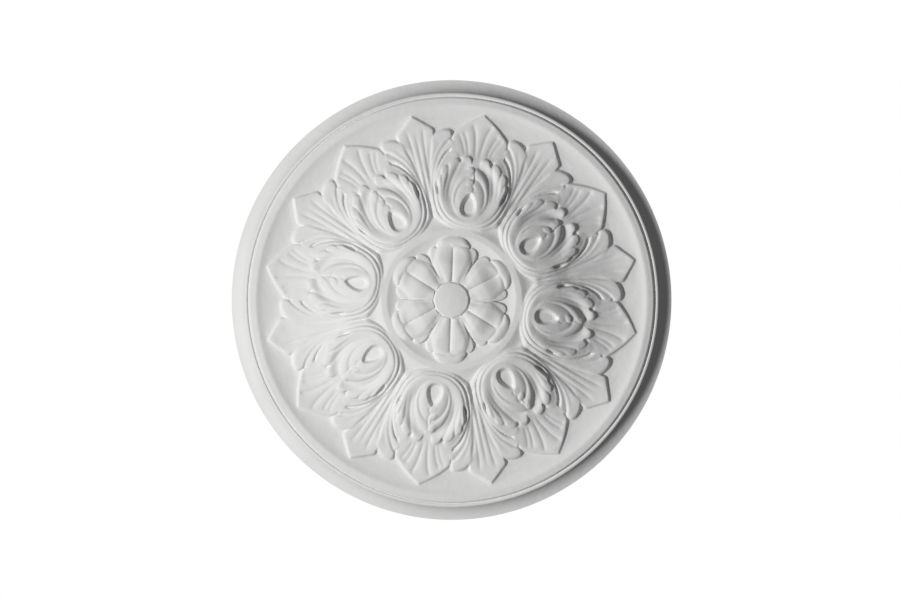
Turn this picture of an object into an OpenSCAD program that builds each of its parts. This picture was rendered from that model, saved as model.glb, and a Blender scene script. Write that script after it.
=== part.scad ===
// Plaster ceiling rose: one casting with a flat back, a moulded rim, a dome of
// acanthus leaves and a rosette around a plain boss.
// Units are millimetres. The back lies on the ceiling at z = 0, the ornament hangs
// below it, and the first leaf group points along +X.

/* [Overall] */
// Diameter over the rim
rose_d = 500; // [400:5:700]
// Height of the flat ring around the rosette, above the back
ring_h = 68.5; // [55:0.5:85]
// Number of leaf groups around the dome
leaf_groups = 8; // [6:2:12]

/* [Rim moulding] */
// Thickness of the outer edge, where it meets the ceiling
edge_t = 4; // [2:0.5:8]
// Radius of the hollow moulding (cavetto) that climbs from the edge
cavetto_r = 25; // [18:0.5:30]
// Width of the cavetto, seen from below
cavetto_w = 14; // [10:0.5:17]
// Width of the flat fillet inside the cavetto
fillet_w = 4.5; // [2:0.5:8]
// Height of the step from the fillet up to the band
step_h = 2.8; // [1:0.1:5]
// Width of the rounded shoulder of that step
step_w = 3; // [2:0.5:5]
// Width of the sloping band around the leaves
band_w = 7.5; // [4:0.5:12]
// Height that the band gains towards the leaves
band_rise = 1.3; // [0:0.1:3]
// Width of the shallow cove between the band and the dome
cove_w = 13.5; // [9:0.5:18]
// Depth of that cove
cove_d = 1.5; // [0.5:0.1:3]

/* [Leaves] */
// Distance that the leaf tips stay inside the band
tip_gap = 6; // [3:0.5:9]
// Height of the free leaf edges above the field
leaf_t = 4.5; // [2:0.5:7]
// Height of the curled leaf tips above the leaves behind them
curl_t = 5; // [2:0.5:8]
// Depth of the hole in the middle of each curl
hole_depth = 9; // [4:0.5:11]
// Depth of the grooves between leaf folds
groove_depth = 2.4; // [1:0.1:3.5]
// Depth of the sunk corners between the ring and the leaf groups
corner_depth = 5; // [2:0.5:6]

/* [Rosette] */
// Number of petals
petals = 6; // [4:1:8]
// Turn of the petals from the leaf groups, in degrees
petal_turn = 8.3; // [0:0.1:20]
// Inside radius of the flat ring
ring_r = 73; // [60:0.5:88]
// Width of the flat ring
ring_w = 6.5; // [4:0.5:10]
// Gap between the petal tips and the ring
petal_gap = 3; // [2:0.5:6]
// Depth of the recess that the petals lie in
recess_d = 3; // [1:0.1:5]
// Height of the petals' highest point above the ring
petal_h = 7.4; // [4:0.1:9]

/* [Boss] */
// Diameter of the boss's flat face
boss_d = 37; // [30:0.5:45]
// Width of the bevel around that face
bevel_w = 3; // [2:0.5:4]
// Height of the boss's face above the ring
boss_h = 8; // [6.5:0.1:12]

/* [Hidden] */
plaster = "whitesmoke";

// Columns of the carved surface: an even number for each leaf group
group_columns = 18;
columns = leaf_groups * group_columns;
// Rings of the carved surface in the petals, the leaves and the cove
petal_rings = 7;
leaf_rings = 16;
cove_rings = 2;

// Radii, from the outside inwards
rim_r = rose_d / 2;
fillet_r = rim_r - cavetto_w;
step_r = fillet_r - fillet_w;
band_out_r = step_r - step_w;
band_in_r = band_out_r - band_w;
dome_r = band_in_r - cove_w;
leaf_r = band_in_r - tip_gap;
ring_out_r = ring_r + ring_w;
petal_r = ring_r - petal_gap;
boss_root_r = boss_d / 2 + bevel_w;

// Heights above the back. The cavetto is an arc whose centre lies outside the rim.
cavetto_top = cavetto_r * sqrt(1 - pow((cavetto_r - 1) / cavetto_r, 2));
cavetto_foot = sqrt(pow(cavetto_r, 2) - pow(cavetto_r - 1 - cavetto_w, 2));
fillet_h = edge_t + cavetto_foot - cavetto_top;
band_out_h = fillet_h + step_h;
band_in_h = band_out_h + band_rise;
valley_h = band_in_h - cove_d;
boss_face_h = ring_h + boss_h;
// Depth from the carved surface to the turned core inside it
cover = 18;
// Lowest level of the carved shell, well inside the core
shell_floor_h = edge_t + 1;
core_floor_h = 12;
// Overlap of the carved shell with the rim and the boss
tuck = 1.5;

// One leaf group is drawn at this size and bent to fit its sector
plan_ring_r = 79.5;
plan_reach = 134.5;
plan_half_pitch = 22.5;
plan_centre = 112;
fold_pitch = 4 * plan_half_pitch / group_columns;

function clamp(a) = min(1, max(0, a));
function ramp(a) = let (b = clamp(a)) b * b * (3 - 2 * b);
function bump(a, w) = exp(-pow(a / w, 2));
function mix(a, b, f) = a + (b - a) * f;

// Mean height of the dome: a smooth fall from the ring to the cove
function dome_h(r) =
    let (s = clamp((r - ring_out_r) / (dome_r - ring_out_r)))
    mix(valley_h, ring_h, (1 + cos(180 * s)) / 2);

// Shallow arc of the cove, up to the inner edge of the band
function cove_h(r) = valley_h + cove_d * pow(clamp((r - dome_r) / cove_w), 2);

function field_h(r) = r < dome_r ? dome_h(r) : cove_h(r);

// Angle from the middle of the nearest leaf group, as it is drawn: 0 to 22.5
function plan_angle(a) =
    let (pitch = 360 / leaf_groups, b = a - pitch * round(a / pitch))
    abs(b) * 2 * plan_half_pitch / pitch;

// Outline of the leaves, as a share of their reach: the tip of the back leaf, the
// side lobe and the tip of the middle leaf
function outline(t) =
    let (u = t / plan_half_pitch)
    max(1 - 0.36 * u, 0.865 - 2.2 * pow(u - 0.58, 2), 1 - 0.63 * (1 - u));

// Curves around the hole in the curl, as distances from its centre
function hole_edge(f) = 12.5 - 1.5 * cos(f) + 2.5 * cos(2 * f);
function inner_curl(f) = 26 + 9.5 * cos(f) + 4 * cos(2 * f);
function outer_curl(f) = 37.8 + 15.5 * cos(f) + 1.7 * cos(2 * f);

// The curled leaf: hole, inner curl, groove, and the outer curl with its raised edge
function curl_relief(x, y) =
    let (d = norm([x, y - plan_centre]), f = atan2(x, y - plan_centre))
    let (hole = hole_edge(f), inner = inner_curl(f), outer = outer_curl(f))
    let (lift = ramp((cos(f) + 0.35) / 1.1))
    let (inside = ramp((outer + 3 - d) / 6), over = ramp((d - inner) / (outer - inner)))
    - hole_depth * ramp((hole + 2 - d) / 7)
    + 2.5 * bump(d - mix(hole, inner, 0.55), 6)
    - groove_depth * bump(d - inner, 4.5)
    + curl_t * lift * inside * over
    - groove_depth * (1 - lift) * bump(d - outer, 4.5);

// Folds that run up between two groups and fan into the leaf tips: crests and
// grooves take turns from one column to the next
function fold_relief(x, y, t) =
    let (d = norm([x, y - plan_centre]), f = atan2(x, y - plan_centre))
    let (outside = ramp((d - outer_curl(f)) / 6) * ramp((y - 88) / 14))
    -0.8 * groove_depth * outside * cos(360 * (plan_half_pitch - t) / fold_pitch);

// Sunk corners between the ring and the borders of two groups
function corner_relief(t, v) =
    let (foot = 0.14 * pow(t / plan_half_pitch, 2))
    -corner_depth * ramp((foot - v) / 0.03) * sin(90 * clamp(v / 0.09));

// Carved height of one leaf group at an angle t and a share v of the leaves' reach
function leaf_h(r, t, v) =
    let (plan_r = plan_ring_r + plan_reach * v, x = plan_r * sin(t), y = plan_r * cos(t))
    max(field_h(r), valley_h) + leaf_t * ramp((v - 0.45) / 0.3)
    + curl_relief(x, y) + fold_relief(x, y, t) + corner_relief(t, v);

// Angle from the middle of the nearest petal
function petal_angle(a) =
    let (pitch = 360 / petals, b = a - petal_turn)
    abs(b - pitch * round(b / pitch)) * 60 / pitch;

// Outline of a petal: the rolled tip, the small side lobe and the gap
function petal_edge(t) =
    let (tip = 1 - 0.045 * pow(t / 15, 2), lobe = 0.89 - 0.004 * pow(t - 21, 2))
    petal_r * max(0.78, t < 17 ? tip : lobe);

// Height of a petal: two rounded lobes with a groove between, and a rolled lip
function petal_top(r, t) =
    let (s = clamp((r - boss_root_r) / (petal_edge(t) - boss_root_r)))
    let (spine = ring_h + petal_h * (0.7 + 0.3 * ramp(s / 0.28)
        - 0.75 * ramp((s - 0.3) / 0.45)))
    spine + 1.2 * ramp((s - 0.78) / 0.15)
    - 1.3 * bump(t, 2.6) * ramp((0.9 - s) / 0.2)
    - (0.8 + 3.2 * ramp((s - 0.3) / 0.5)) * bump(30 - t, 3.4);

// Rings of the carved surface, each as [radius, height] at the column's angle
function petal_ring(k, a) =
    let (t = petal_angle(a), inner = boss_root_r - tuck)
    let (r = mix(inner, petal_edge(t), pow(k / petal_rings, 0.9)))
    [r, petal_top(r, t)];

function leaf_ring(k, a) =
    let (t = plan_angle(a), v = outline(t) * k / leaf_rings)
    let (r = mix(ring_out_r, leaf_r, v))
    [r, leaf_h(r, t, v)];

function cove_ring(k, a) =
    let (t = plan_angle(a), foot = mix(ring_out_r, leaf_r, outline(t)) + 1.2)
    let (r = mix(foot, band_in_r - 0.3, k / cove_rings))
    [r, cove_h(r)];

function rings(a) = concat(
    [[boss_root_r - tuck, shell_floor_h]],
    [for (k = [0:petal_rings]) petal_ring(k, a)],
    [[petal_edge(petal_angle(a)) + 1.2, ring_h - recess_d]],
    [[ring_r - 1, ring_h - recess_d], [ring_r, ring_h]],
    [for (k = [0:leaf_rings]) leaf_ring(k, a)],
    [for (k = [0:cove_rings]) cove_ring(k, a)],
    [[band_in_r + tuck, valley_h], [band_in_r + tuck, shell_floor_h]]
);

// Closed shell: rings of points swept around the axis, joined by triangles whose
// diagonals lean the same way on both halves of a leaf group
module carved_shell() {
    step = 360 / columns;
    // The columns follow the petals' turn inside the ring
    twist = petal_turn - step * round(petal_turn / step);
    table = [for (c = [0:columns - 1]) rings(c * step)];
    inner_table = [for (c = [0:columns - 1]) rings(c * step + twist)];
    count = len(table[0]);
    last_inner = petal_rings + 4;
    points = [
        for (c = [0:columns - 1], k = [0:count - 1])
            let (turned = k < last_inner)
            let (p = turned ? inner_table[c][k] : table[c][k])
            let (a = c * step + (turned ? twist : 0))
            [p[0] * cos(a), p[0] * sin(a), p[1]]
    ];
    triangles = [
        for (c = [0:columns - 1], k = [0:count - 1])
            let (n = (c + 1) % columns, m = (k + 1) % count)
            let (p00 = c * count + k, p01 = c * count + m)
            let (p10 = n * count + k, p11 = n * count + m)
            let (left = (c % group_columns) < group_columns / 2)
            each left ? [[p00, p10, p11], [p00, p11, p01]] : [[p00, p10, p01], [p10, p11, p01]]
    ];
    polyhedron(points, triangles, convexity = 10);
}

// Turned core with the exact rim moulding and the boss
module turned_body() {
    core_steps = 6;
    core = [
        for (k = [0:core_steps])
            let (r = mix(boss_root_r, dome_r, k / core_steps))
            [r, max(core_floor_h, dome_h(r) - cover)]
    ];
    difference() {
        rotate_extrude($fn = 180)
            polygon(concat(
                [[0, 0], [rim_r, 0], [rim_r, fillet_h]],
                [[step_r, fillet_h], [band_out_r, band_out_h], [band_in_r, band_in_h]],
                [[band_in_r, core_floor_h]],
                [for (k = [core_steps:-1:0]) core[k]],
                [[boss_root_r, boss_face_h - bevel_w], [boss_d / 2, boss_face_h]],
                [[0, boss_face_h]]
            ));
        cavetto_cut();
    }
}

// Ring-shaped cut that leaves the cavetto
module cavetto_cut() {
    centre_r = fillet_r + cavetto_r - 1;
    rotate_extrude($fn = 180)
        translate([centre_r, fillet_h + cavetto_top])
            circle(cavetto_r, $fn = 96);
}

module ceiling_rose() {
    color(plaster)
        rotate([180, 0, 0])
            union() {
                turned_body();
                carved_shell();
            }
}

ceiling_rose();
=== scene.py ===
from math import cos, pi, radians, sin, sqrt

import bpy
import numpy as np
from mathutils import Matrix, Vector


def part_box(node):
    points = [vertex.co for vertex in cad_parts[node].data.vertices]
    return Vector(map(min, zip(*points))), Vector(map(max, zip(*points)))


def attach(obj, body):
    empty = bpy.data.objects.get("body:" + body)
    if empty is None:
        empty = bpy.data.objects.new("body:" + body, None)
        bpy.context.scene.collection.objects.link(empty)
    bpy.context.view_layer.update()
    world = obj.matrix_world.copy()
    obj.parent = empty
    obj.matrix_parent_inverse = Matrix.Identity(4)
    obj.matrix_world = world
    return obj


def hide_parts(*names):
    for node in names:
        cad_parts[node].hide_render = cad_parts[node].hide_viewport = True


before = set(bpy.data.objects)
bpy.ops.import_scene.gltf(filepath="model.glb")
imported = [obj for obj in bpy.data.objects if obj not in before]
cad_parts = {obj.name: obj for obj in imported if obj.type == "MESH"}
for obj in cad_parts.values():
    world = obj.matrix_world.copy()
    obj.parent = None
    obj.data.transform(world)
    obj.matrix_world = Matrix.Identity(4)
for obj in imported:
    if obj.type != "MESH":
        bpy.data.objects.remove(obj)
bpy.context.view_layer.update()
rose_low, rose_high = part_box("ceiling_rose")

# The relief is drawn in millimetres on a rose of this radius, and scaled to the frame.
RIM_R = 250.0
MM = (rose_high.x - rose_low.x) / 2 / RIM_R

# Leaf groups round the dome and petals round the boss, and the petals' turn from the groups
GROUPS, PETALS, PETAL_TURN = 8, 6, radians(8.3)
HALF_PITCH = pi / GROUPS    # from the middle of a group to the middle leaf beside it

# ---------------------------------------------------------------- carving tools
# A Carving holds the height of the relief over many points x, y at once, in millimetres.


def ramp(share):
    """0 below 0, 1 above 1, and a smooth step between."""
    share = np.clip(share, 0.0, 1.0)
    return share * share * (3 - 2 * share)


def curve(points, closed=False, steps=6):
    """A smooth curve (Catmull-Rom) through the points. A point given twice makes a corner."""
    points = np.array(points, float)
    count = len(points)
    spans = count if closed else count - 1
    line = []
    for i in range(spans):
        picks = [(i + k) % count if closed else min(max(i + k, 0), count - 1) for k in (-1, 0, 1, 2)]
        a, b, c, d = points[picks]
        for s in np.arange(steps) / steps:
            line.append(0.5 * (2 * b + (c - a) * s + (2 * a - 5 * b + 4 * c - d) * s ** 2
                               + (3 * b - a - 3 * c + d) * s ** 3))
    if not closed:
        line.append(points[-1])
    return np.array(line)


def along(x, y, line):
    """How far each point is from the line, and how far along it, from 0 to 1."""
    nearest = np.full(x.shape, 1e9)
    share = np.zeros(x.shape)
    steps = np.diff(line, axis=0)
    lengths = np.hypot(steps[:, 0], steps[:, 1])
    run = 0.0
    for (ax, ay), (dx, dy), length in zip(line[:-1], steps, lengths):
        if length < 1e-9:
            continue
        f = np.clip(((x - ax) * dx + (y - ay) * dy) / length ** 2, 0, 1)
        gap = (x - ax - f * dx) ** 2 + (y - ay - f * dy) ** 2
        closer = gap < nearest
        nearest[closer] = gap[closer]
        share[closer] = (run + f * length)[closer] / lengths.sum()
        run += length
    return np.sqrt(nearest), share


def inside_depth(x, y, loop):
    """Distance in from a closed outline: positive inside, negative outside."""
    ring = np.vstack([loop, loop[:1]])
    depth, _ = along(x, y, ring)
    inside = np.zeros(x.shape, bool)
    for (ax, ay), (bx, by) in zip(ring[:-1], ring[1:]):
        if ay != by:
            inside ^= ((ay > y) != (by > y)) & (x < ax + (y - ay) * (bx - ax) / (by - ay))
    return np.where(inside, depth, -depth)


def near(x, y, line, margin):
    low, high = line.min(axis=0) - margin, line.max(axis=0) + margin
    return (x > low[0]) & (x < high[0]) & (y > low[1]) & (y < high[1])


def value(thing, x, y):
    return thing(x, y) if callable(thing) else thing


class Carving:
    def __init__(self, x, y):
        self.x, self.y = x, y
        self.h = np.zeros(x.shape)

    def groove(self, points, width, depth, soft=2.6, share=0.35, taper=(0.12, 0.12)):
        """Cuts a groove along a curve, with a wider, shallower hollow round it."""
        line = curve(points)
        here = near(self.x, self.y, line, width * soft * 2.2)
        gap, part = along(self.x[here], self.y[here], line)
        ends = ramp(part / max(taper[0], 1e-6)) * ramp((1 - part) / max(taper[1], 1e-6))
        cut = (1 - share) * np.exp(-(gap / width) ** 2) + share * np.exp(-(gap / (width * soft)) ** 2)
        self.h[here] -= depth * ends * cut

    def leaf(self, points, top, edge=3.0, drop=4.0, bevel=0.35, fade=1.0):
        """Lays a leaf over what is there. Its height is top, and falls by drop over the last edge mm;
        bevel rounds the fall, and fade (0 to 1) lets it melt into what lies below."""
        loop = curve(points, closed=True)
        here = near(self.x, self.y, loop, 0.5)
        x, y = self.x[here], self.y[here]
        depth = inside_depth(x, y, loop)
        top, drop, fade = value(top, x, y), value(drop, x, y), value(fade, x, y)
        s = np.clip(depth / edge, 0, 1)
        fall = (1 - s) * (1 - bevel) + (1 - s) ** 2 * bevel
        below = self.h[here]
        cover = ramp(s)
        laid = np.maximum(below * (1 - cover) + top * cover, top - drop * fall)
        self.h[here] = np.where(depth > 0, below + (laid - below) * fade, below)


def mirrored(points):
    """A symmetric outline from its right half, drawn from the top down."""
    return points + [(-x, y) for x, y in points[::-1] if abs(x) > 1e-6]


def through(points):
    """A symmetric open line from its right half, drawn from the middle outwards."""
    return [(-x, y) for x, y in points[:0:-1]] + points


def sided(points, side):
    return [(side * x, y) for x, y in points]


# ---------------------------------------------------------------- one leaf group
# x runs across the group and y outwards from the middle of the rose.


def rise(x, y):
    """The leaves stand proud of the dome towards the rim."""
    return ramp((np.hypot(x, y) - 130) / 50)


def back_leaf(work):
    """The broad pointed leaf behind the curl, fluted like a shell."""
    outline = mirrored([(0, 214), (1, 213.4), (5, 210.8), (12, 206), (20, 199.4), (27, 192.4), (31.6, 187),
                        (33, 180), (31, 160), (18, 136)])
    work.leaf(outline, lambda x, y: 4.3 * rise(x, y) + 0.7 * ramp((214 - y) / 26) - 0.6, 2.5, 4.8, 0.4)
    for side in (-1, 1):
        work.groove(sided([(11.6, 202.5), (8.4, 195.5), (6, 188), (4.2, 178), (3, 168), (2.4, 158)], side),
                    1.5, 1.7, share=0.5, taper=(0.12, 0.3))
        work.groove(sided([(21, 192.5), (17.6, 187), (14.2, 179.5), (11.6, 170.5), (10.2, 161)], side),
                    1.4, 1.5, share=0.5, taper=(0.15, 0.3))
        work.groove(sided([(26, 188.5), (22.6, 183.5), (19, 177), (16, 169.5), (14.6, 162)], side),
                    1.3, 1.3, share=0.5, taper=(0.15, 0.3))


def middle_leaf(work, side):
    """Half of the acanthus leaf between two groups: its tip, and two rounded side lobes."""
    def turned(points):
        """From the middle leaf's own axes, drawn for its left half, to the group's."""
        a = HALF_PITCH
        return [(side * (x * cos(a) + y * sin(a)), -x * sin(a) + y * cos(a)) for x, y in points]

    tip = mirrored([(0, 214), (1, 213.4), (4.5, 211), (10, 206.2), (15.4, 201.2), (19.8, 197.4),
                    (22.2, 193.6), (21.6, 188), (21, 176), (18, 155), (12, 130), (7, 108)])
    work.leaf(turned(tip), lambda x, y: 4.5 * rise(x, y) - 4.8 * (1 - ramp((np.hypot(x, y) - 98) / 50)),
              2.5, 4.6, 0.4)
    small = [(34, 179.6), (29.8, 178), (28.4, 174), (30.4, 169), (36, 162.6), (40, 152), (41, 138),
             (40, 120), (45, 124), (47, 145), (45, 162), (40, 173)]
    work.leaf(sided(small, side), lambda x, y: 4.4 * rise(x, y) + 0.5, 2.5, 2.8, 0.6)
    large = [(54.6, 168.6), (56, 175.5), (53, 182.4), (47.4, 187.4), (40.8, 190.4), (34.8, 190),
             (31.8, 186.4), (31.6, 181.8), (33.6, 178.6), (37.6, 172), (42, 162), (44.6, 148), (44.4, 132),
             (41, 116), (37, 103), (40, 102), (44.6, 118), (48.8, 133), (51.8, 147), (53.6, 159)]
    work.leaf(sided(large, side), lambda x, y: 5.2 * rise(x, y) + 0.5, 3.2, 4.0, 0.6)
    # veins
    work.groove(sided([(33.6, 178.8), (38, 171.6), (42.2, 162), (44.8, 150), (45.4, 138), (44.2, 124),
                       (40.6, 108)], side),
                1.6, 1.4, share=0.5, taper=(0.06, 0.3))
    work.groove(sided([(40.6, 183), (44.4, 175), (47.4, 165), (49, 153), (48.6, 139), (46, 125),
                       (42, 110)], side),
                2.0, 1.3, share=0.5, taper=(0.25, 0.3))
    work.groove(sided([(54.8, 173), (54, 160), (52, 147), (49, 133), (45, 118), (41, 104)], side),
                1.7, 1.8, share=0.5, taper=(0.2, 0.3))
    work.groove(turned([(-10.4, 200), (-8.6, 190), (-7.2, 178), (-6.4, 164), (-5.4, 148), (-4.6, 132)]),
                1.4, 1.6, share=0.5, taper=(0.2, 0.3))


def side_lobe(work, side):
    """The lobe that shows beside the curl, with a raised lip."""
    outline = [(19.4, 160), (21, 165), (25.4, 167.4), (30.6, 166.4), (35, 161.6), (38.8, 154), (41.6, 145),
               (43, 134), (42.4, 122), (39, 108), (30, 104), (20, 114), (24, 136), (21, 150)]
    work.leaf(sided(outline, side), lambda x, y: 2.4 * ramp((y - 118) / 40) + 2.0, 2.5, 2.6, 0.6,
              fade=lambda x, y: ramp((y - 118) / 16))
    work.groove(sided([(23.4, 162.4), (27.6, 163), (31.8, 159.6), (35.4, 152.6), (38, 143), (39.4, 132),
                       (38.6, 118)], side),
                1.8, 1.2, share=0.4, taper=(0.2, 0.3))


def borders(work):
    """The two nested bands that hold the foot of the group."""
    foot = mirrored([(0, 77.9), (10, 78.6), (20, 81.2), (29, 85.2), (36.4, 89.6), (40.4, 97.4),
                     (45, 108.6), (50.6, 122), (56, 135), (40, 150)])
    work.leaf(foot, lambda x, y: 1.7 - 2.2 * ramp((np.abs(x) - 16) / 16), 5.0, 4.6, 0.5,
              fade=lambda x, y: ramp((132 - y) / 26))
    band = mirrored([(0, 82.4), (10, 83.1), (20, 86), (28, 91), (33.6, 97.8), (38, 106.8), (41.2, 117),
                     (42.6, 128), (30, 146)])
    work.leaf(band, lambda x, y: 2.7 - ramp((np.abs(x) - 16) / 16), 3.4, 2.8, 0.8,
              fade=lambda x, y: ramp((130 - y) / 20))
    work.groove(through([(0, 82.2), (10, 82.9), (20, 85.8), (28, 90.8), (33.8, 97.6), (38.2, 106.6),
                         (41.6, 117), (43.6, 128), (44.2, 142)]), 1.0, 1.7, share=0.3, taper=(0.14, 0.14))


def outer_curl(work):
    """The big cupped curl with its four lobes a side."""
    right = [(1.6, 151), (3.2, 156), (5, 161.6), (8.6, 164.8), (13, 164.4), (16.6, 161.2), (17.9, 157.6),
             (17.9, 157.6), (20.8, 160.2), (24.8, 159.8), (28.6, 156.4), (30.8, 152), (31, 150), (31, 150),
             (33.8, 150), (36.8, 148), (38.6, 144.4), (38.4, 140.6), (38.6, 139), (39.8, 135.6), (40, 131),
             (38.2, 126), (36.6, 119), (35.2, 112), (32.2, 105.4), (27.8, 98.6), (21.4, 92.4), (12, 87.4),
             (0, 85.6)]
    outline = right + [(-x, y) for x, y in right[-2::-1]]

    def cup(x, y):
        """The rim of the curl stands up, and its inside falls to the inner curl."""
        turn = np.arctan2(np.abs(x), y - 112)
        reach = np.hypot(x, y - 112)
        valley = 23 + 12.5 * np.cos(turn) + 3 * np.cos(2 * turn)
        lift = ramp((np.cos(turn) + 0.5) / 1.5)
        return 0.4 + (1.8 + 4.4 * lift) * ramp((reach - valley) / 12) + 1.2 * ramp((100 - y) / 10)

    def free_edge(x, y):
        return 1.9 + 3.0 * ramp((y - 96) / 34)

    work.leaf(outline, cup, 2.5, free_edge, 0.55)
    for side in (-1, 1):
        # pleats that run down from the notches
        work.groove(sided([(17.9, 160), (19.8, 151), (22.4, 141), (24.4, 130), (25, 119), (23, 108),
                           (18, 99.6)], side),
                    1.6, 1.7, share=0.5, taper=(0, 0.6))
        work.groove(sided([(30.6, 150.4), (29.4, 144.4), (29, 136), (29.8, 126), (29.4, 116), (26.4, 106)],
                          side),
                    1.4, 1.7, share=0.45, taper=(0.05, 0.6))
        work.groove(sided([(37.6, 139.6), (35, 134.6), (34, 127), (33, 118), (30.4, 109)], side), 1.3, 1.1,
                    share=0.45, taper=(0.05, 0.6))
        work.groove(sided([(9.6, 161), (12.4, 152), (15.6, 142), (18, 132)], side), 2.2, 0.8, share=0.6,
                    taper=(0.3, 0.5))
        # the line round the foot of the curl
        work.groove(sided([(0, 85.3), (12, 87.1), (21.6, 92), (28.2, 98.2), (32.8, 105.2), (35.9, 112.4),
                           (37, 119)], side),
                    0.9, 1.3, share=0.3, taper=(0, 0.3))
        # the hollow between the curl and the side lobe, and the small deep eye at its foot
        work.groove(sided([(39.2, 126.5), (38.6, 122.6), (36.8, 118.4), (34.6, 115.4)], side), 1.2, 4.2,
                    share=0.1, taper=(0.5, 0.35))
        work.groove(sided([(39.6, 141), (41.4, 134.6), (40.2, 127.4), (38, 120), (36.6, 113)], side), 1.6,
                    0.9, share=0.2, taper=(0.35, 0.35))


def inner_curl(work):
    """The curl inside: a rolled rim, a collar round the hole, and lobes that meet over it."""
    rim = mirrored([(0, 152), (5, 150.4), (10.4, 146), (15, 140), (18.4, 132.6), (20.6, 124), (21.2, 116),
                    (19.8, 107.4), (16, 99.2), (9.4, 92), (4, 89.4), (0, 88.8)])
    work.leaf(rim, lambda x, y: 2.8 + 1.9 * ramp((y - 118) / 26), 4.0, 3.0, 0.8)
    collar = mirrored([(0, 139), (5, 137.4), (10, 132.4), (14, 125.4), (16, 116), (14.6, 106), (9, 98.6),
                       (0, 94)])
    work.leaf(collar, lambda x, y: 3.6 + 0.8 * ramp((y - 116) / 18), 6, 1.8, 0.8)
    for side in (-1, 1):
        work.groove(sided([(0, 139.6), (5.4, 137.8), (10.6, 133), (14.8, 125.6), (16.6, 116), (15.2, 106),
                           (10, 98.4)], side),
                    1.4, 1.6, share=0.35, taper=(0.02, 0.35))
    # the left lobes lie over the right ones
    for lobe, lift in (([(-14, 142), (-9, 150), (-5, 151.8), (-1.2, 151.4), (0.8, 148.4), (-0.2, 144.6),
                         (-4, 141.6), (-9, 139.6)], 5.8),
                       ([(-9, 132), (-5, 137.6), (-1, 138.4), (2, 136.6), (1.8, 133.4), (-0.6, 131.4),
                         (-5, 129.6)], 5.6),
                       ([(-7, 124), (-4.6, 129), (-0.6, 130), (2.6, 128.6), (3, 125.8), (1.2, 123.2),
                         (-3, 121.6)], 4.5)):
        work.leaf(lobe, lift, 2.2, 2.8, 0.5, fade=lambda x, y: ramp((x + 9.5) / 6))
    work.groove([(0.6, 151.6), (0.6, 145.6), (2, 140.6), (2.6, 136), (0.8, 131.4), (3, 127.6),
                 (1.4, 122.8)], 1.0, 1.2,
                share=0.3, taper=(0.1, 0.1))


def hole(work):
    """The egg-shaped hollow in the middle of the curls."""
    outline = mirrored([(0, 122), (3.4, 119.6), (6.6, 114), (8.6, 107.4), (8.2, 101.8), (5, 97.6), (0, 96)])
    depth = inside_depth(work.x, work.y, curve(outline, closed=True))
    work.h -= 6.6 * ramp((depth + 1.4) / 4.6)


def valley(work, side):
    """The V between two groups. It runs out along the middle leaf as its main vein."""
    a = HALF_PITCH
    spine = [(side * r * sin(a), r * cos(a)) for r in (98, 110, 122, 138, 156)]
    work.groove(spine, 1.6, 1.6, share=0.4, taper=(0.1, 0.4))
    spine = [(side * r * sin(a), r * cos(a)) for r in (120, 145, 174, 203)]
    work.groove(spine, 1.6, 1.9, share=0.5, taper=(0.2, 0.4))


def ground(x, y):
    """The bare ground, sunk at the corners between the ring and the feet of two groups."""
    reach = np.hypot(x, y)
    return -5.4 * np.sin(pi / 2 * np.clip((reach - RING_OUT) / 12.5, 0, 1)) * (1 - ramp((reach - 125) / 40))


def leaf_group(x, y):
    work = Carving(x, y)
    work.h = ground(x, y)
    back_leaf(work)
    for side in (-1, 1):
        middle_leaf(work, side)
    for side in (-1, 1):
        side_lobe(work, side)
    borders(work)
    outer_curl(work)
    inner_curl(work)
    hole(work)
    for side in (-1, 1):
        valley(work, side)
    return work.h


# ---------------------------------------------------------------- rosette

def petal(x, y):
    """One of the six petals, as height over the ring round them."""
    reach = np.hypot(x, y)
    inward = np.clip(RING_IN - reach, 0, 16.6)
    work = Carving(x, y)
    work.h = -0.36 * inward + 0.0108 * inward ** 2
    ledge = mirrored([(0, 72.4), (7, 71.6), (13.6, 68.6), (17.8, 63.6), (19, 59.6), (19, 59.6), (22, 59.8),
                      (25.6, 57.6), (27.4, 53.4), (26.8, 48), (24.2, 42), (20.4, 35), (15.4, 26.4),
                      (11.4, 18)])

    def ledge_top(x, y):
        return 5.6 - 5.6 * ramp((np.hypot(x, y) - 30) / 34)

    work.leaf(ledge, ledge_top, 1.6, lambda x, y: 1.0 + 2.4 * ramp((np.hypot(x, y) - 42) / 12), 0.5)
    lobes = mirrored([(0, 66), (7, 65.4), (13.4, 62.8), (18.6, 59), (21.6, 53.6), (22.4, 47.6),
                      (20.8, 40.6), (17.4, 33), (13.4, 25), (9, 17)])

    def lobe_top(x, y):
        across = np.clip(np.abs(x) / np.maximum(0.42 * y, 1), 0, 1)
        spine = 5.9 + 1.2 * ramp((y - 22) / 11) - 4.7 * ramp((y - 37) / 19)
        return spine + 1.0 * np.sin(pi * across)

    work.leaf(lobes, lobe_top, 7.5, lambda x, y: 1.4 + 2.4 * ramp((y - 30) / 20), 0.9)
    cap = mirrored([(0, 72.4), (7, 71.6), (13.6, 68.6), (17.6, 63.8), (18.6, 60.2), (15, 60.4), (9, 61.4),
                    (4, 61.2), (0, 59.6)])
    work.leaf(cap, lambda x, y: 3.4 - 2.5 * ramp((np.hypot(x, y) - 63) / 12), 4.4, 1.3, 0.85,
              fade=lambda x, y: 0.3 + 0.7 * ramp((19 - np.abs(x)) / 8))
    work.groove([(0, 19), (0, 35), (0, 50), (0, 60.6)], 1.2, 1.4, share=0.4, taper=(0.02, 0.1))
    return work.h


# ---------------------------------------------------------------- whole rose
# Heights over the flat back, in mm: close to the CAD model's, with the rim and boss drawn finer.

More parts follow.
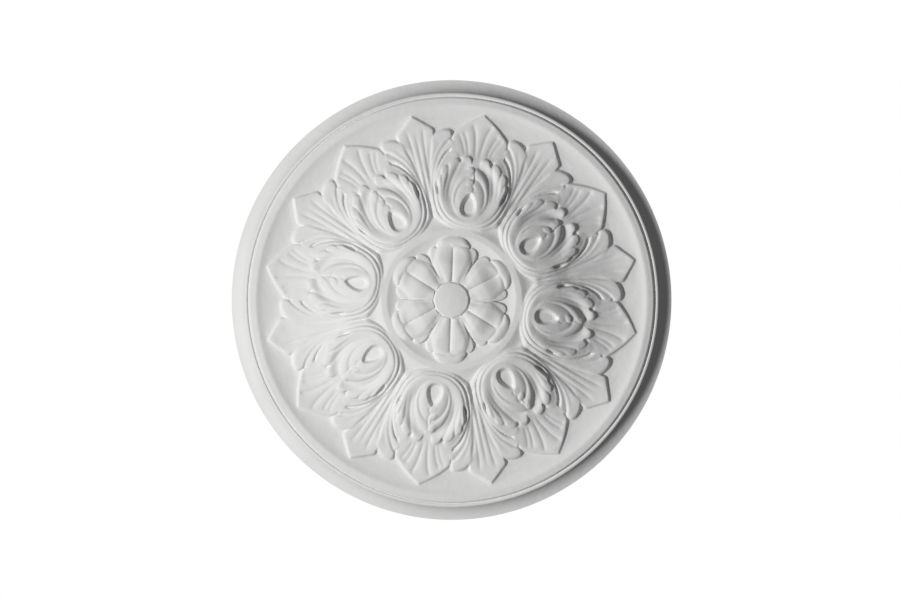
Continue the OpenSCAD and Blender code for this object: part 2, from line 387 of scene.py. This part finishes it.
VALLEY_H, RING_H, BOSS_H = 22.5, 68.5, 76.5
RING_IN, RING_OUT, RING_FALL = 72.8, 79.5, 0.08
DOME_R, BAND_R, BAND_H, CREST_SOFT = 206.5, 221.0, 24.0, 0.9
STEP_R, STEP_H, LIP_R, LIP_DEPTH, LIP_W = 227.2, 4.5, 230.7, 1.7, 1.9
FILLET_R, FILLET_H, ROLL_R, ROLL_H = 231.6, 19.9, 235.4, 2.05
CAVETTO_R, CAVETTO_W, CAVETTO_OUT, EDGE_T = 25.0, 26.5, 10.0, 4.0
BOSS_FACE_R, BOSS_FOOT_R, BOSS_DROP, BOSS_SIDES = 18.5, 21.4, 4.0, 12
RELIEF = 0.85    # share of its drawn depth that the leaf relief has


def lower(a, b, soft):
    """The lower of two heights, rounded where they cross."""
    return np.minimum(a, b) - np.clip(soft - np.abs(a - b), 0, None) ** 2 / (4 * soft)


def dome(r):
    """The swelling ground that the leaves lie on, and the cove that rises to the rim band."""
    share = np.clip((r - RING_OUT) / (DOME_R - RING_OUT), 0, 1)
    foot = RING_H - RING_FALL * (RING_OUT - RING_IN)
    swell = VALLEY_H + (foot - VALLEY_H) * (1 + np.cos(pi * share)) / 2
    crest = BAND_H + CREST_SOFT / 4
    cove = swell + (crest - VALLEY_H) * np.clip((r - DOME_R) / (BAND_R - DOME_R), 0, None) ** 3
    out = r - BAND_R
    band = crest - 0.125 * out - 0.0175 * np.clip(out, 0, None) ** 2
    return np.where(r > DOME_R, lower(cove, band, CREST_SOFT), swell)


def rim(r):
    """Step, rounded fillet and cavetto, from the band out to the edge."""
    share = np.clip((r - STEP_R) / (LIP_R - STEP_R), 0, 1)
    step = dome(np.minimum(r, STEP_R)) - STEP_H * (1 - np.sqrt(1 - share ** 2))
    share = np.clip((r - FILLET_R) / (ROLL_R - FILLET_R), 0, 1)
    fillet = FILLET_H - ROLL_H * (1 - np.sqrt(1 - share ** 2))
    fillet -= LIP_DEPTH * (1 - ramp((r - LIP_R) / LIP_W))
    centre_r = RIM_R + CAVETTO_OUT
    centre_h = EDGE_T + CAVETTO_R * sqrt(1 - ((centre_r - RIM_R) / CAVETTO_W) ** 2)
    cavetto = centre_h - CAVETTO_R * np.sqrt(np.clip(1 - ((centre_r - r) / CAVETTO_W) ** 2, 0, None))
    return np.where(r < LIP_R, step, np.where(r < ROLL_R, np.minimum(fillet, cavetto), cavetto))


def fold(angle, first, count):
    """Angle from the nearest of count axes."""
    sector = 2 * pi / count
    nearest = np.round((angle - first) / sector)
    return angle - first - nearest * sector


def height(x, y):
    """Height of the whole face over its flat back. x, y are in the upright frame, with a group on +X."""
    r, angle = np.hypot(x, y), np.arctan2(y, x)
    h = dome(r)
    off = fold(angle, 0, GROUPS)
    here = (r > RING_OUT - 3) & (r < BAND_R)
    carved = np.zeros_like(r)
    carved[here] = leaf_group(-r[here] * np.sin(off[here]), r[here] * np.cos(off[here]))
    h += RELIEF * carved
    ring = RING_H - RING_FALL * (r - RING_IN)
    h = np.where(r < RING_OUT, ring, h)
    off = fold(angle, PETAL_TURN, PETALS)
    here = r < RING_IN
    flower = np.zeros_like(r)
    flower[here] = petal(-r[here] * np.sin(off[here]), r[here] * np.cos(off[here]))
    h = np.where(here, RING_H + flower, h)
    off = fold(angle, 0, BOSS_SIDES)
    foot = BOSS_FOOT_R * cos(pi / BOSS_SIDES) / np.cos(off)
    bevel = BOSS_H - BOSS_DROP * np.clip((r - BOSS_FACE_R) / (foot - BOSS_FACE_R), 0, 1)
    h = np.where(r < foot, bevel, h)
    return np.where(r > BAND_R, rim(r), h)

# ---------------------------------------------------------------- mesh

GRID = 0.62            # spacing of the carving grid, mm
GRID_R = 200           # radius at which the columns have that spacing, mm
TRIANGLES = 190000     # most triangles that the finished mesh may have
CREASE = radians(50)   # edges sharper than this stay crisp
INSIDE = 0.9999        # keeps the thinned mesh just inside the CAD model's box


def ring_radii():
    """Radii of the grid's rings: close together on the carving and the fillet, wider elsewhere."""
    stops = [(0.6, 1.6), (17, GRID), (80, GRID), (216, 0.9), (221, 0.7), (229, 0.5), (236, 0.5), (240, 1.3),
             (RIM_R, 1.3)]
    radii = []
    r = stops[0][0]
    while r < RIM_R - 0.4:
        radii.append(r)
        r += np.interp(r, [s[0] for s in stops], [s[1] for s in stops])
    return np.array(radii + [RIM_R])


def soften(z, radii):
    """Wears the carving's edges a little, as a cast from an old mould does.
    The rim and the boss stay crisp."""
    carved = (radii > BOSS_FOOT_R + 2) & (radii < BAND_R - 2)
    worn = (np.roll(z, 1, axis=1) + 2 * z + np.roll(z, -1, axis=1)) / 4
    worn[1:-1] = (worn[:-2] + 2 * worn[1:-1] + worn[2:]) / 4
    return np.where(carved[:, None], worn, z)


def cast_mesh():
    """The whole cast as one closed mesh: carved face, edge and flat back."""
    radii = ring_radii()
    columns = GROUPS * int(round(2 * pi * GRID_R / GROUPS / GRID))
    angle = np.arange(columns) * 2 * pi / columns
    a, r = np.meshgrid(angle, radii)
    x, y = r * np.cos(a), r * np.sin(a)
    z = soften(height(x, y), radii)
    rings = len(radii)
    front = np.c_[x.ravel(), y.ravel(), z.ravel()]
    back = np.c_[RIM_R * np.cos(angle), RIM_R * np.sin(angle), np.zeros(columns)]
    points = np.vstack([front, back, [[0, 0, z[0].mean()], [0, 0, 0]]])
    points[:, 2] = np.minimum(points[:, 2], BOSS_H)
    points = points * (INSIDE * MM, -INSIDE * MM, -INSIDE * MM)
    here = np.arange(columns)
    after = (here + 1) % columns
    quads = []
    for i in range(rings):
        low, high = i * columns, (i + 1) * columns
        quads.append(np.c_[low + here, high + here, high + after, low + after])
    centre, back_centre = len(points) - 2, len(points) - 1
    fans = [np.c_[np.full(columns, centre), here, after],
            np.c_[np.full(columns, back_centre), rings * columns + after, rings * columns + here]]
    quads = np.vstack(quads)
    faces = quads[:, ::-1].tolist() + np.vstack(fans)[:, ::-1].tolist()
    mesh = bpy.data.meshes.new("ceiling_rose_cast")
    mesh.from_pydata(points.tolist(), [], faces)
    mesh.validate()
    return mesh


def make_cast():
    mesh = cast_mesh()
    piece = bpy.data.objects.new("ceiling_rose_cast", mesh)
    bpy.context.scene.collection.objects.link(piece)
    bpy.context.view_layer.objects.active = piece
    piece.select_set(True)
    triangles = sum(len(p.vertices) - 2 for p in mesh.polygons)
    thin = piece.modifiers.new("thin", "DECIMATE")
    thin.ratio = TRIANGLES / triangles
    bpy.ops.object.modifier_apply(modifier=thin.name)
    piece.data.shade_smooth()
    piece.data.set_sharp_from_angle(angle=CREASE)
    return piece


# ---------------------------------------------------------------- plaster

def plaster():
    """Matt white casting plaster: slight cloudiness, fine grain and a few air-bubble pits."""
    material = bpy.data.materials.new("white_plaster")
    material.use_nodes = True
    nodes, links = material.node_tree.nodes, material.node_tree.links
    shader = nodes["Principled BSDF"]
    shader.inputs["Roughness"].default_value = 0.88
    shader.inputs["Specular IOR Level"].default_value = 0.25
    place = nodes.new("ShaderNodeTexCoord")

    def noise(scale, detail):
        node = nodes.new("ShaderNodeTexNoise")
        node.inputs["Scale"].default_value = scale
        node.inputs["Detail"].default_value = detail
        links.new(place.outputs["Object"], node.inputs["Vector"])
        return node

    clouds = noise(14, 4)
    tone = nodes.new("ShaderNodeValToRGB")
    tone.color_ramp.elements[0].position = 0.3
    tone.color_ramp.elements[0].color = (0.775, 0.775, 0.77, 1)
    tone.color_ramp.elements[1].position = 0.7
    tone.color_ramp.elements[1].color = (0.815, 0.815, 0.81, 1)
    links.new(clouds.outputs["Fac"], tone.inputs["Fac"])
    links.new(tone.outputs["Color"], shader.inputs["Base Color"])

    grain = noise(900, 3)
    swell = noise(120, 2)
    pits = nodes.new("ShaderNodeTexVoronoi")
    pits.inputs["Scale"].default_value = 260
    links.new(place.outputs["Object"], pits.inputs["Vector"])
    hollow = nodes.new("ShaderNodeMapRange")
    hollow.inputs["From Min"].default_value = 0.05
    hollow.inputs["From Max"].default_value = 0.12
    links.new(pits.outputs["Distance"], hollow.inputs["Value"])
    normal = None
    for source, distance in ((swell.outputs["Fac"], 0.0006), (grain.outputs["Fac"], 0.0001),
                             (hollow.outputs["Result"], 0.00015)):
        bump = nodes.new("ShaderNodeBump")
        bump.inputs["Distance"].default_value = distance
        bump.inputs["Strength"].default_value = 0.6
        links.new(source, bump.inputs["Height"])
        if normal:
            links.new(normal, bump.inputs["Normal"])
        normal = bump.outputs["Normal"]
    links.new(normal, shader.inputs["Normal"])
    return material


# ---------------------------------------------------------------- studio

GROUP_TURN = radians(79.8)     # how far the +X leaf group stands round from the picture's right
KEY_TURN = radians(189)        # where the key light stands, round from the picture's right
KEY_RISE = radians(46.5)       # and how high over the face
RIGHT = Vector((cos(GROUP_TURN), sin(GROUP_TURN), 0))
UP = Vector((sin(GROUP_TURN), -cos(GROUP_TURN), 0))
DOWN = Vector((0, 0, -1))      # from the rose towards the viewer
VIEW_WIDTH = (rose_high.x - rose_low.x) * 2.0473    # what the picture spans from side to side


def camera():
    """Looks straight up at the rose from below, with one leaf group near the top of the picture."""
    lens, sensor = 300.0, 36.0
    distance = VIEW_WIDTH * lens / sensor
    data = bpy.data.cameras.new("camera")
    data.lens = lens
    data.sensor_width = sensor
    eye = bpy.data.objects.new("camera", data)
    bpy.context.scene.collection.objects.link(eye)
    aim = -VIEW_WIDTH * 0.0018 * RIGHT
    turn = Matrix((RIGHT, UP, DOWN)).transposed()
    eye.matrix_world = Matrix.Translation(aim + distance * DOWN) @ turn.to_4x4()
    bpy.context.scene.camera = eye


def sun(name, towards, strength, softness):
    data = bpy.data.lights.new(name, "SUN")
    data.energy = strength
    data.angle = radians(softness)
    lamp = bpy.data.objects.new(name, data)
    lamp.rotation_euler = Vector(towards).to_track_quat("Z", "Y").to_euler()
    bpy.context.scene.collection.objects.link(lamp)


def lights():
    """A key from the picture's left, a pale sky for the shadows and a top light for the back."""
    side = cos(KEY_TURN) * RIGHT + sin(KEY_TURN) * UP
    key = cos(KEY_RISE) * side + sin(KEY_RISE) * DOWN
    sun("key", key, 2.82, 9)
    sun("top", Vector((0.3, -0.25, 1)), 2.4, 20)
    world = bpy.data.worlds.new("studio")
    bpy.context.scene.world = world
    world.use_nodes = True
    nodes, links = world.node_tree.nodes, world.node_tree.links
    fill = nodes["Background"]
    fill.inputs["Color"].default_value = (1, 1, 1, 1)
    fill.inputs["Strength"].default_value = 0.095
    seen = nodes.new("ShaderNodeBackground")
    seen.inputs["Color"].default_value = (1, 1, 1, 1)
    seen.inputs["Strength"].default_value = 1.0
    path = nodes.new("ShaderNodeLightPath")
    mix = nodes.new("ShaderNodeMixShader")
    links.new(path.outputs["Is Camera Ray"], mix.inputs["Fac"])
    links.new(fill.outputs["Background"], mix.inputs[1])
    links.new(seen.outputs["Background"], mix.inputs[2])
    links.new(mix.outputs["Shader"], nodes["World Output"].inputs["Surface"])


def floor():
    """A pale floor far below the rose and the camera. It throws no light back up and no shadow."""
    size, drop = 12.0, VIEW_WIDTH * 9
    mesh = bpy.data.meshes.new("floor")
    corners = [(-size, -size, -drop), (size, -size, -drop), (size, size, -drop), (-size, size, -drop)]
    mesh.from_pydata(corners, [], [(0, 1, 2, 3)])
    ground = bpy.data.objects.new("floor", mesh)
    bpy.context.scene.collection.objects.link(ground)
    material = bpy.data.materials.new("floor")
    material.use_nodes = True
    material.node_tree.nodes["Principled BSDF"].inputs["Base Color"].default_value = (0.8, 0.8, 0.8, 1)
    material.node_tree.nodes["Principled BSDF"].inputs["Roughness"].default_value = 0.9
    mesh.materials.append(material)
    ground.visible_diffuse = False
    ground.visible_glossy = False
    ground.visible_shadow = False


cast = make_cast()
cast.data.materials.clear()
cast.data.materials.append(plaster())
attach(cast, "root")
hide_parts("ceiling_rose")
camera()
lights()
floor()
bpy.context.scene.view_settings.view_transform = "Standard"
